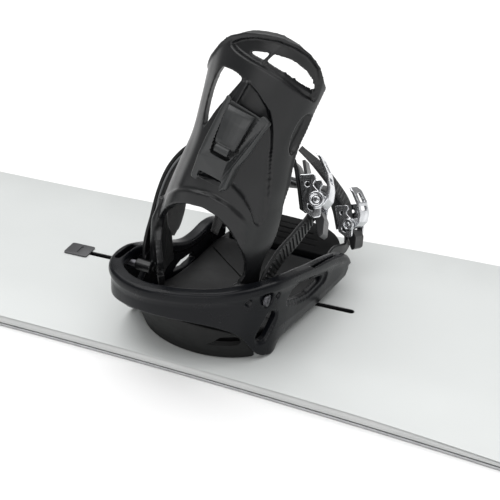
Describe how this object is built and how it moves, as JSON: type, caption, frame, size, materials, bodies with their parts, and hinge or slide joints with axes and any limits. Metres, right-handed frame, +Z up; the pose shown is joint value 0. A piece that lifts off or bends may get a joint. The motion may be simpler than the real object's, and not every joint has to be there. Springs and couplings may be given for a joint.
{
  "type": "snowboard with bindings",
  "caption": "All-mountain twin snowboard with a slotted channel deck and a pair of strap bindings with tall open-frame highbacks, ratchet straps and turning mounting discs.",
  "frame": {"origin": "Centre of the flat running base, on the plane the board rests on, midway between the two bindings.", "axes": "+X runs along the board to the nose, +Y to the toe edge, +Z up out of the top sheet."},
  "size_m": [1.55, 0.311, 0.2715],
  "materials": {
    "deck": "satin clear-coated top sheet",
    "wall": "machined plastic sidewall",
    "wood": "laminated poplar strips",
    "base": "sintered polyethylene running base",
    "tipblock": "moulded tip block with its base panel",
    "edge": "ground steel edge",
    "track": "black anodised channel",
    "plug": "moulded channel plug",
    "chassis": "satin glass-filled nylon",
    "cup": "soft-touch rubber",
    "bed": "moulded foam and rubber",
    "ramp": "moulded rubber",
    "highback": "satin moulded polycarbonate and nylon",
    "pad": "woven cover over foam",
    "strap": "moulded strap frame",
    "toe_pad": "textured synthetic over foam",
    "ladder": "ribbed nylon",
    "adjuster": "moulded adjuster",
    "screw": "blackened steel",
    "bolt": "zinc-plated steel",
    "disc": "glass-filled nylon",
    "ratchet": "bright die-cast metal",
    "tab": "moulded tab"
  },
  "bodies": {
    "board": {"wood_core": "wood", "sidewall": "wall", "topsheet": "deck", "running_base": "base", "nose_tip": "tipblock", "tail_tip": "tipblock", "steel_edge": "edge", "channel_track_nose": "track", "channel_track_tail": "track", "channel_plug_nose": "plug", "channel_plug_tail": "plug"},
    "mount_nose": {"disc_nose": "disc", "disc_bolt_outer_nose": "bolt", "disc_bolt_inner_nose": "bolt"},
    "chassis_nose": {"baseplate_nose": "chassis", "heel_cup_nose": "cup", "footbed_nose": "bed", "highback_screw_outer_nose": "screw", "highback_screw_inner_nose": "screw"},
    "ramp_nose": {"toe_ramp_nose": "ramp"},
    "back_nose": {"highback_nose": "highback", "calf_pad_nose": "pad"},
    "lean_nose": {"lean_block_nose": "adjuster"},
    "lean_catch_nose": {"lean_lever_nose": "adjuster"},
    "ankle_nose": {"ankle_strap_nose": "strap", "ankle_pad_nose": "pad", "ankle_ratchet_nose": "ratchet"},
    "ankle_rack_nose": {"ankle_ladder_nose": "ladder"},
    "ankle_handle_nose": {"ankle_lever_nose": "ratchet"},
    "ankle_tab_nose": {"ankle_release_nose": "tab"},
    "toe_nose": {"toe_strap_nose": "toe_pad", "toe_ratchet_nose": "ratchet"},
    "toe_rack_nose": {"toe_ladder_nose": "ladder"},
    "toe_handle_nose": {"toe_lever_nose": "ratchet"},
    "toe_tab_nose": {"toe_release_nose": "tab"},
    "mount_tail": {"disc_tail": "disc", "disc_bolt_outer_tail": "bolt", "disc_bolt_inner_tail": "bolt"},
    "chassis_tail": {"baseplate_tail": "chassis", "heel_cup_tail": "cup", "footbed_tail": "bed", "highback_screw_outer_tail": "screw", "highback_screw_inner_tail": "screw"},
    "ramp_tail": {"toe_ramp_tail": "ramp"},
    "back_tail": {"highback_tail": "highback", "calf_pad_tail": "pad"},
    "lean_tail": {"lean_block_tail": "adjuster"},
    "lean_catch_tail": {"lean_lever_tail": "adjuster"},
    "ankle_tail": {"ankle_strap_tail": "strap", "ankle_pad_tail": "pad", "ankle_ratchet_tail": "ratchet"},
    "ankle_rack_tail": {"ankle_ladder_tail": "ladder"},
    "ankle_handle_tail": {"ankle_lever_tail": "ratchet"},
    "ankle_tab_tail": {"ankle_release_tail": "tab"},
    "toe_tail": {"toe_strap_tail": "toe_pad", "toe_ratchet_tail": "ratchet"},
    "toe_rack_tail": {"toe_ladder_tail": "ladder"},
    "toe_handle_tail": {"toe_lever_tail": "ratchet"},
    "toe_tab_tail": {"toe_release_tail": "tab"}
  },
  "joints": [
    {"name": "stance_slide_nose", "type": "slide", "parent": "board", "child": "mount_nose", "axis": [1, 0, 0], "range_m": [-0.06, 0.06]},
    {"name": "stance_turn_nose", "type": "hinge", "parent": "mount_nose", "child": "chassis_nose", "pos_m": [0.262, 0, 0.015], "axis": [0, 0, 1], "range_deg": [-12, 12]},
    {"name": "ramp_slide_nose", "type": "slide", "parent": "chassis_nose", "child": "ramp_nose", "axis": [0.0924, 0.9957, 0], "range_m": [0, 0.012]},
    {"name": "highback_fold_nose", "type": "hinge", "parent": "chassis_nose", "child": "back_nose", "pos_m": [0.25332, -0.0936, 0.067], "axis": [-0.9957, 0.0924, 0], "range_deg": [0, 8]},
    {"name": "lean_slide_nose", "type": "slide", "parent": "back_nose", "child": "lean_nose", "axis": [-0.2887, -0.2097, -0.9342], "range_m": [-0.006, 0.01]},
    {"name": "lean_flip_nose", "type": "hinge", "parent": "lean_nose", "child": "lean_catch_nose", "pos_m": [0.27999, -0.10257, 0.21923], "axis": [-0.9571, 0.0888, 0.2759], "range_deg": [0, 65]},
    {"name": "ankle_swing_nose", "type": "hinge", "parent": "chassis_nose", "child": "ankle_nose", "pos_m": [0.25489, -0.07667, 0.064], "axis": [-0.9957, 0.0924, 0], "range_deg": [0, 10]},
    {"name": "ankle_rack_swing_nose", "type": "hinge", "parent": "chassis_nose", "child": "ankle_rack_nose", "pos_m": [0.25489, -0.07667, 0.064], "axis": [-0.9957, 0.0924, 0], "range_deg": [0, 10]},
    {"name": "ankle_lever_lift_nose", "type": "hinge", "parent": "ankle_nose", "child": "ankle_handle_nose", "pos_m": [0.32618, -0.0174, 0.1189], "axis": [0.0515, 0.8346, -0.5484], "range_deg": [0, 48]},
    {"name": "ankle_release_press_nose", "type": "hinge", "parent": "ankle_nose", "child": "ankle_tab_nose", "pos_m": [0.32837, -0.02324, 0.11022], "axis": [0.0515, 0.8346, -0.5484], "range_deg": [0, 14], "stiffness_Nm_per_rad": 0.06, "springref_deg": -5.73},
    {"name": "toe_swing_nose", "type": "hinge", "parent": "chassis_nose", "child": "toe_nose", "pos_m": [0.26551, 0.03784, 0.044], "axis": [-0.9957, 0.0924, 0], "range_deg": [0, 12]},
    {"name": "toe_rack_swing_nose", "type": "hinge", "parent": "chassis_nose", "child": "toe_rack_nose", "pos_m": [0.26551, 0.03784, 0.044], "axis": [-0.9957, 0.0924, 0], "range_deg": [0, 12]},
    {"name": "toe_lever_lift_nose", "type": "hinge", "parent": "toe_nose", "child": "toe_handle_nose", "pos_m": [0.34259, 0.07616, 0.05805], "axis": [0.276, 0.9133, -0.2995], "range_deg": [0, 48]},
    {"name": "toe_release_press_nose", "type": "hinge", "parent": "toe_nose", "child": "toe_tab_nose", "pos_m": [0.34407, 0.07306, 0.04995], "axis": [0.276, 0.9133, -0.2995], "range_deg": [0, 14], "stiffness_Nm_per_rad": 0.06, "springref_deg": -5.73},
    {"name": "stance_slide_tail", "type": "slide", "parent": "board", "child": "mount_tail", "axis": [-1, 0, 0], "range_m": [-0.06, 0.06]},
    {"name": "stance_turn_tail", "type": "hinge", "parent": "mount_tail", "child": "chassis_tail", "pos_m": [-0.262, 0, 0.015], "axis": [0, 0, -1], "range_deg": [-12, 12]},
    {"name": "ramp_slide_tail", "type": "slide", "parent": "chassis_tail", "child": "ramp_tail", "axis": [-0.0924, 0.9957, 0], "range_m": [0, 0.012]},
    {"name": "highback_fold_tail", "type": "hinge", "parent": "chassis_tail", "child": "back_tail", "pos_m": [-0.25332, -0.0936, 0.067], "axis": [-0.9957, -0.0924, 0], "range_deg": [0, 8]},
    {"name": "lean_slide_tail", "type": "slide", "parent": "back_tail", "child": "lean_tail", "axis": [0.2887, -0.2097, -0.9342], "range_m": [-0.006, 0.01]},
    {"name": "lean_flip_tail", "type": "hinge", "parent": "lean_tail", "child": "lean_catch_tail", "pos_m": [-0.27999, -0.10257, 0.21923], "axis": [-0.9571, -0.0888, -0.2759], "range_deg": [0, 65]},
    {"name": "ankle_swing_tail", "type": "hinge", "parent": "chassis_tail", "child": "ankle_tail", "pos_m": [-0.25489, -0.07667, 0.064], "axis": [-0.9957, -0.0924, 0], "range_deg": [0, 10]},
    {"name": "ankle_rack_swing_tail", "type": "hinge", "parent": "chassis_tail", "child": "ankle_rack_tail", "pos_m": [-0.25489, -0.07667, 0.064], "axis": [-0.9957, -0.0924, 0], "range_deg": [0, 10]},
    {"name": "ankle_lever_lift_tail", "type": "hinge", "parent": "ankle_tail", "child": "ankle_handle_tail", "pos_m": [-0.32618, -0.0174, 0.1189], "axis": [0.0515, -0.8346, 0.5484], "range_deg": [0, 48]},
    {"name": "ankle_release_press_tail", "type": "hinge", "parent": "ankle_tail", "child": "ankle_tab_tail", "pos_m": [-0.32837, -0.02324, 0.11022], "axis": [0.0515, -0.8346, 0.5484], "range_deg": [0, 14], "stiffness_Nm_per_rad": 0.06, "springref_deg": -5.73},
    {"name": "toe_swing_tail", "type": "hinge", "parent": "chassis_tail", "child": "toe_tail", "pos_m": [-0.26551, 0.03784, 0.044], "axis": [-0.9957, -0.0924, 0], "range_deg": [0, 12]},
    {"name": "toe_rack_swing_tail", "type": "hinge", "parent": "chassis_tail", "child": "toe_rack_tail", "pos_m": [-0.26551, 0.03784, 0.044], "axis": [-0.9957, -0.0924, 0], "range_deg": [0, 12]},
    {"name": "toe_lever_lift_tail", "type": "hinge", "parent": "toe_tail", "child": "toe_handle_tail", "pos_m": [-0.34259, 0.07616, 0.05805], "axis": [0.276, -0.9133, 0.2995], "range_deg": [0, 48]},
    {"name": "toe_release_press_tail", "type": "hinge", "parent": "toe_tail", "child": "toe_tab_tail", "pos_m": [-0.34407, 0.07306, 0.04995], "axis": [0.276, -0.9133, 0.2995], "range_deg": [0, 14], "stiffness_Nm_per_rad": 0.06, "springref_deg": -5.73}
  ],
  "couplings": [
    {"joint": "ankle_rack_swing_nose", "follows": "ankle_swing_nose", "ratio": 1},
    {"joint": "toe_rack_swing_nose", "follows": "toe_swing_nose", "ratio": 1},
    {"joint": "ankle_rack_swing_tail", "follows": "ankle_swing_tail", "ratio": 1},
    {"joint": "toe_rack_swing_tail", "follows": "toe_swing_tail", "ratio": 1}
  ]
}
